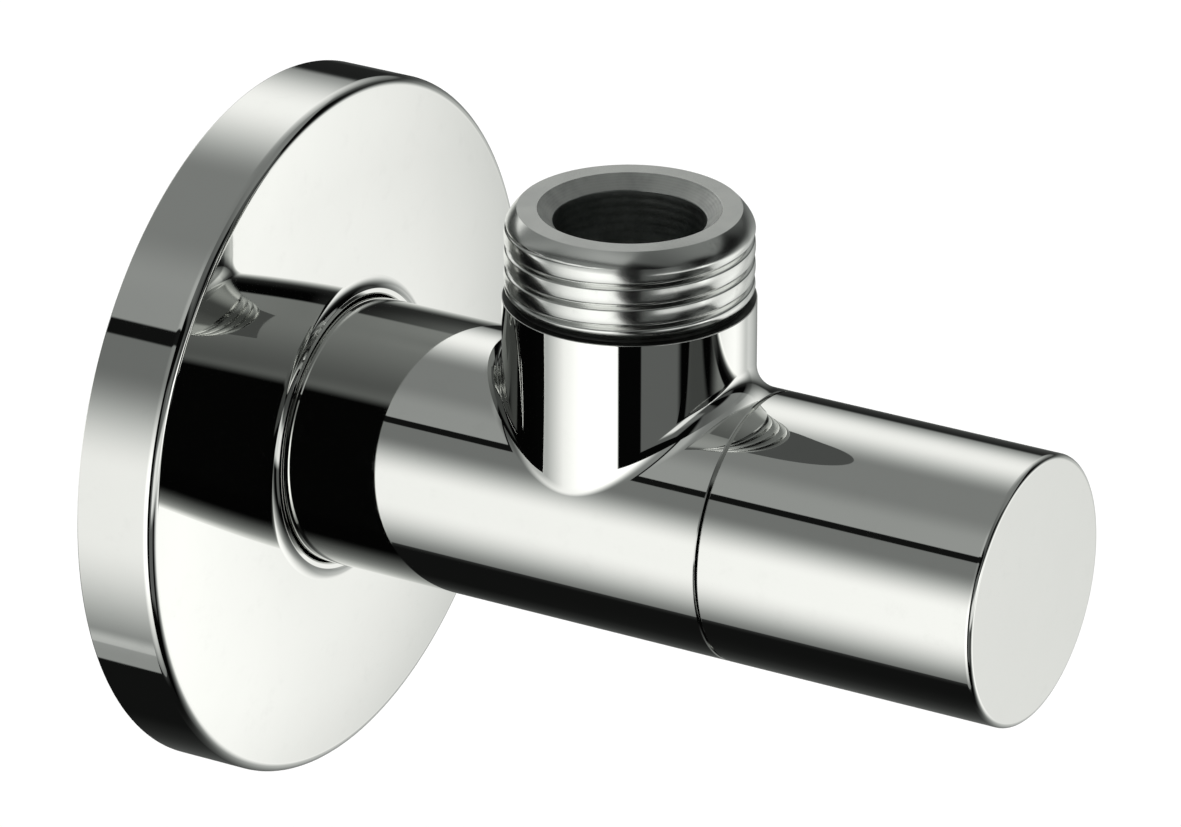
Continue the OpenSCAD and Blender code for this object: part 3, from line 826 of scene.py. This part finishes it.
FAR_FRONT_PANELS = [
    (266, 342, 338, 372, 0.93),     # low panel on the right, seen past the handle
    (86, 104, 176, 186, 0.062),
    (14, 20, 36, 46, 0.07),
]
WALL_SIDE_DARK = 0.0065
FRONT_SIDE_DARK = 0.0012

# Where one set of panels gives way to another: a span of Y, or of X for the left and the right
RIM_SPAN = (0.475, 0.49)
FAR_FRONT_SPAN = (-0.88, -0.80)
LEFT_CORNER_SPAN = (-0.320, -0.290)
RIGHT_CORNER_SPAN = (-0.50, 0.46)
LEFT_TO_RIGHT_SPAN = (-0.35, 0.35)

# How brightness changes along the panels: (from, to, factor at the first, factor at the second)
LEFT_X = (-0.55, -0.35, 1.0, 0.0)       # where the left's factors hold
LEFT_FALLOFFS_Y = [(0.10, 0.48, 1.38, 1.0), (0.48, 0.70, 1.0, 0.50)]
RIGHT_X = (0.3, 0.5, 0.0, 1.0)          # where the right's factors hold
RIGHT_Y = (-0.30, -0.20, 1.0, 0.0)
RIGHT_FALLOFF_Y = (-0.58, -0.33, 1.24, 0.80)
RIGHT_FALLOFF_Z = (-0.48, -0.34, 1.14, 0.90)
WALL_SHADE_Y = (0.15, 0.30, 0.0, 0.68)  # the wall darkens what is seen by a second bounce

# Cards: bands of heading, in degrees from +X towards +Y, or of X, Y and Z, and a brightness
CARD_HEADING = (219.5, 221.0, 252.5, 258.0)     # grey card in front, left of the camera
CARD_Z = (-0.66, -0.58, 0.30, 0.38)
CARD_LEVEL = 0.115
WINDOW_HEADING = (228, 238, 278, 292)           # small bright window low in front of the wall
WINDOW_Z = (-0.34, -0.24, -0.06, 0.06)
WINDOW_LEVEL = 0.75
LOW_CARD_X = (0.0, 0.2)                         # grey card that is seen by way of the rosette
LOW_CARD_Y = (-0.62, -0.55, 1.0, 0.0)
LOW_CARD_Z = (-0.37, -0.33, -0.08, -0.02)
LOW_CARD_LEVEL = 0.17
BEHIND_Y = (0.74, 0.90)                         # soft light behind the wall plane
BEHIND_Z = (-0.60, -0.30, -0.10, 0.10)
BEHIND_LEVEL = 0.7

DIM_TINT = (0.95, 1.0, 0.965)       # colour of the dim and the bright panels
BRIGHT_TINT = (0.995, 1.0, 0.975)
FULL_BRIGHT = 0.9                   # brightness at which the tint is all the bright one
FIRST_BOUNCE_DEPTH = 2.5            # ray depths under this are a first bounce off the valve
WHITE = (1, 1, 1)
MATT_LIGHT = 1.25                   # brightness of the light that falls on matt surfaces


def panel_share(tree, angle, edges):
    """1 inside a panel's band of angles. A band that ends past 360 runs on from 0."""
    rise_from, rise_to, fall_from, fall_to = edges
    rise = tree.span(angle, rise_from, rise_to)
    fall = tree.span(angle, fall_from, fall_to, 1.0, 0.0)
    if fall_to > 360:
        past_zero = tree.math("LESS_THAN", angle, 180.0)
        run_on = tree.span(tree.math("ADD", angle, 360.0), fall_from, fall_to, 1.0, 0.0)
        before_zero = tree.math("SUBTRACT", 1.0, past_zero)
        rise = tree.math("MAXIMUM", rise, past_zero)
        fall = tree.math("MINIMUM", fall, tree.math("MAXIMUM", run_on, before_zero))
    return tree.product(rise, fall)


def panel_sum(tree, angle, panels, dark):
    """Brightness of some panels together, over the darkness between them."""
    total = dark
    for *edges, level in panels:
        light = tree.product(panel_share(tree, angle, edges), level)
        total = tree.math("ADD", total, light)
    return total


def degrees_between(tree, up, across):
    """Angle of a direction in degrees, from 0 to 360."""
    angle = tree.math("MULTIPLY", tree.math("ARCTAN2", up, across), 180 / math.pi)
    return tree.math("MODULO", tree.math("ADD", angle, 360.0), 360.0)


def panel_light(tree, x, y, z):
    """Brightness of the panels, which differ towards the wall and away from it."""
    angle = degrees_between(tree, z, x)
    rim = tree.product(panel_sum(tree, angle, RIM_PANELS, 0.0), tree.span(y, *RIM_SPAN))
    wall_side = tree.math("ADD", panel_sum(tree, angle, WALL_SIDE_PANELS, WALL_SIDE_DARK), rim)
    near_front = panel_sum(tree, angle, FRONT_SIDE_PANELS, FRONT_SIDE_DARK)
    far_front = panel_sum(tree, angle, FAR_FRONT_PANELS, FRONT_SIDE_DARK)
    front_side = tree.blend(tree.span(y, *FAR_FRONT_SPAN), far_front, near_front)
    left_corner = tree.span(y, *LEFT_CORNER_SPAN)
    right_corner = tree.span(y, *RIGHT_CORNER_SPAN, smooth=False)
    to_wall = tree.blend(tree.span(x, *LEFT_TO_RIGHT_SPAN), left_corner, right_corner)
    return tree.blend(to_wall, front_side, wall_side)


def panel_falloff(tree, x, y, z):
    """Factor by which the panels brighten or dim along their length, on the left and right."""
    left = tree.product(*[tree.span(y, *falloff, smooth=False) for falloff in LEFT_FALLOFFS_Y])
    left = tree.blend(tree.span(x, *LEFT_X), 1.0, left)
    right = tree.product(tree.span(y, *RIGHT_FALLOFF_Y, smooth=False),
                         tree.span(z, *RIGHT_FALLOFF_Z, smooth=False))
    on_right = tree.product(tree.span(x, *RIGHT_X), tree.span(y, *RIGHT_Y))
    return tree.product(left, tree.blend(on_right, 1.0, right))


def card_lights(tree, x, y, z, first_bounce, later_bounce):
    """Pairs of a card's share in a direction and its brightness."""
    heading = degrees_between(tree, y, x)
    card = tree.product(tree.band(heading, CARD_HEADING), tree.band(z, CARD_Z), first_bounce)
    window = tree.product(tree.band(heading, WINDOW_HEADING), tree.band(z, WINDOW_Z),
                          first_bounce)
    low_card = tree.product(tree.span(x, *LOW_CARD_X), tree.span(y, *LOW_CARD_Y),
                            tree.band(z, LOW_CARD_Z), later_bounce)
    behind = tree.product(tree.span(y, *BEHIND_Y), tree.band(z, BEHIND_Z))
    return [(card, CARD_LEVEL), (window, WINDOW_LEVEL), (low_card, LOW_CARD_LEVEL),
            (behind, BEHIND_LEVEL)]


def studio_light(tree, depth):
    """Brightness of the studio in every direction, as the valve mirrors it."""
    x, y, z = tree.add("SeparateXYZ", {0: tree.add("TexCoord").outputs["Generated"]}).outputs
    first_bounce = tree.math("LESS_THAN", depth, FIRST_BOUNCE_DEPTH)
    later_bounce = tree.math("SUBTRACT", 1.0, first_bounce)
    shade = tree.product(tree.span(y, *WALL_SHADE_Y), later_bounce)
    level = tree.product(panel_light(tree, x, y, z), panel_falloff(tree, x, y, z),
                         tree.math("SUBTRACT", 1.0, shade))
    for share, brightness in card_lights(tree, x, y, z, first_bounce, later_bounce):
        level = tree.math("MULTIPLY_ADD", share, brightness, level)
    return level


def make_world():
    """The studio in reflections, an even light on matt surfaces, and plain white behind."""
    world = bpy.data.worlds.new("studio")
    bpy.context.scene.world = world
    world.use_nodes = True
    tree = Tree(world.node_tree)
    path = tree.add("LightPath")
    level = studio_light(tree, path.outputs["Ray Depth"])
    tint = tree.mix(tree.span(level, 0.0, FULL_BRIGHT, smooth=False), rgba(DIM_TINT),
                    rgba(BRIGHT_TINT))
    mirrored = tree.add("Background", {0: tint, 1: level})
    matt = tree.add("Background", {0: rgba(WHITE), 1: MATT_LIGHT})
    behind = tree.add("Background", {0: rgba(WHITE), 1: 1.0})
    mixed = tree.add("MixShader", {0: path.outputs["Is Diffuse Ray"], 1: mirrored.outputs[0],
                                   2: matt.outputs[0]})
    final = tree.add("MixShader", {0: path.outputs["Is Camera Ray"], 1: mixed.outputs[0],
                                   2: behind.outputs[0]})
    output = tree.add("OutputWorld")
    tree.tree.links.new(final.outputs[0], output.inputs["Surface"])


FLOOR_DROP = 40.0       # below the rosette's lowest point
FLOOR_HALF = 4000.0


def make_floor():
    mesh = bpy.data.meshes.new("floor")
    z = ROSETTE_LOW[2] - FLOOR_DROP
    corners = [(-1, -1), (1, -1), (1, 1), (-1, 1)]
    mesh.from_pydata([(x * FLOOR_HALF * MM, y * FLOOR_HALF * MM, z * MM) for x, y in corners],
                     [], [(0, 1, 2, 3)])
    floor = bpy.data.objects.new("floor", mesh)
    bpy.context.scene.collection.objects.link(floor)
    material, tree, place = start_material("floor_paper")
    grain = tree.noise(place, 0.8, 4.0)
    surface = tree.mix(grain, rgba((0.93, 0.93, 0.925)), rgba((0.96, 0.96, 0.955)))
    end_material(tree, {"Base Color": surface, "Roughness": 0.8}, grain, 0.01)
    mesh.materials.append(material)
    floor.visible_glossy = False


FLAG_CENTRE = (1.0, -OUTLET_AT)
FLAG_R = 9.3
FLAG_SIDES = 64
FLAG_HEIGHTS = (35.0, 41.0)
FLAG_BACK = 1.4         # how far the flag reaches behind its centre
FLAG_LEVEL = 0.075


def flag_cloth():
    """Evenly dark grey, whatever falls on it."""
    material = bpy.data.materials.new("flag_cloth")
    material.use_nodes = True
    tree = Tree(material.node_tree)
    glow = tree.add("Emission", {0: rgba(DIM_TINT), 1: FLAG_LEVEL})
    output = tree.add("OutputMaterial")
    tree.tree.links.new(glow.outputs[0], output.inputs["Surface"])
    return material


def make_flag():
    """Dark flag over the outlet, a lighting card that shows only in reflections."""
    turns = ring_turns(FLAG_SIDES)[:-1]
    x = FLAG_CENTRE[0] + FLAG_R * np.cos(turns)
    y = FLAG_CENTRE[1] + np.minimum(FLAG_R * np.sin(turns), FLAG_BACK)
    count = len(turns)
    points = [(a * MM, b * MM, z * MM) for z in FLAG_HEIGHTS for a, b in zip(x, y)]
    sides = [(i, (i + 1) % count, (i + 1) % count + count, i + count) for i in range(count)]
    ends = [tuple(range(count)), tuple(range(count, 2 * count))]
    mesh = bpy.data.meshes.new("flag")
    mesh.from_pydata(points, [], sides + ends)
    mesh.materials.append(flag_cloth())
    flag = bpy.data.objects.new("flag", mesh)
    bpy.context.scene.collection.objects.link(flag)
    flag.visible_camera = False
    flag.visible_diffuse = False
    flag.visible_shadow = False
    flag.visible_transmission = False


CAMERA_AZIMUTH = -60.165
CAMERA_ELEVATION = 24.031
CAMERA_ROLL = 0.109
CAMERA_DISTANCE = 679.11
CAMERA_TARGET = (-1.996, -32.831, 7.631)
CAMERA_LENS = 247.5
SENSOR_WIDTH = 36
CLIP_NEAR = 0.01        # in metres
CLIP_FAR = 50


def make_camera():
    camera = bpy.data.objects.new("camera", bpy.data.cameras.new("camera"))
    bpy.context.scene.collection.objects.link(camera)
    bpy.context.scene.camera = camera
    camera.data.lens = CAMERA_LENS
    camera.data.sensor_width = SENSOR_WIDTH
    camera.data.clip_start = CLIP_NEAR
    camera.data.clip_end = CLIP_FAR
    azimuth, elevation = math.radians(CAMERA_AZIMUTH), math.radians(CAMERA_ELEVATION)
    back = Vector((math.sin(azimuth) * math.cos(elevation),
                   -math.cos(azimuth) * math.cos(elevation), math.sin(elevation)))
    level = Vector((math.cos(azimuth), math.sin(azimuth), 0))
    up = back.cross(level)
    roll = math.radians(CAMERA_ROLL)
    right = level * math.cos(roll) + up * math.sin(roll)
    up = up * math.cos(roll) - level * math.sin(roll)
    turn = Matrix((right, up, back)).transposed().to_4x4()
    place = (Vector(CAMERA_TARGET) + back * CAMERA_DISTANCE) * MM
    camera.matrix_world = Matrix.Translation(place) @ turn


finishes = {**chrome_finishes(), **turned_finishes(), **moulded_finishes()}
build_pieces(finishes)
dress_cad(finishes)
make_world()
make_floor()
make_flag()
make_camera()
bpy.context.scene.view_settings.view_transform = "Standard"
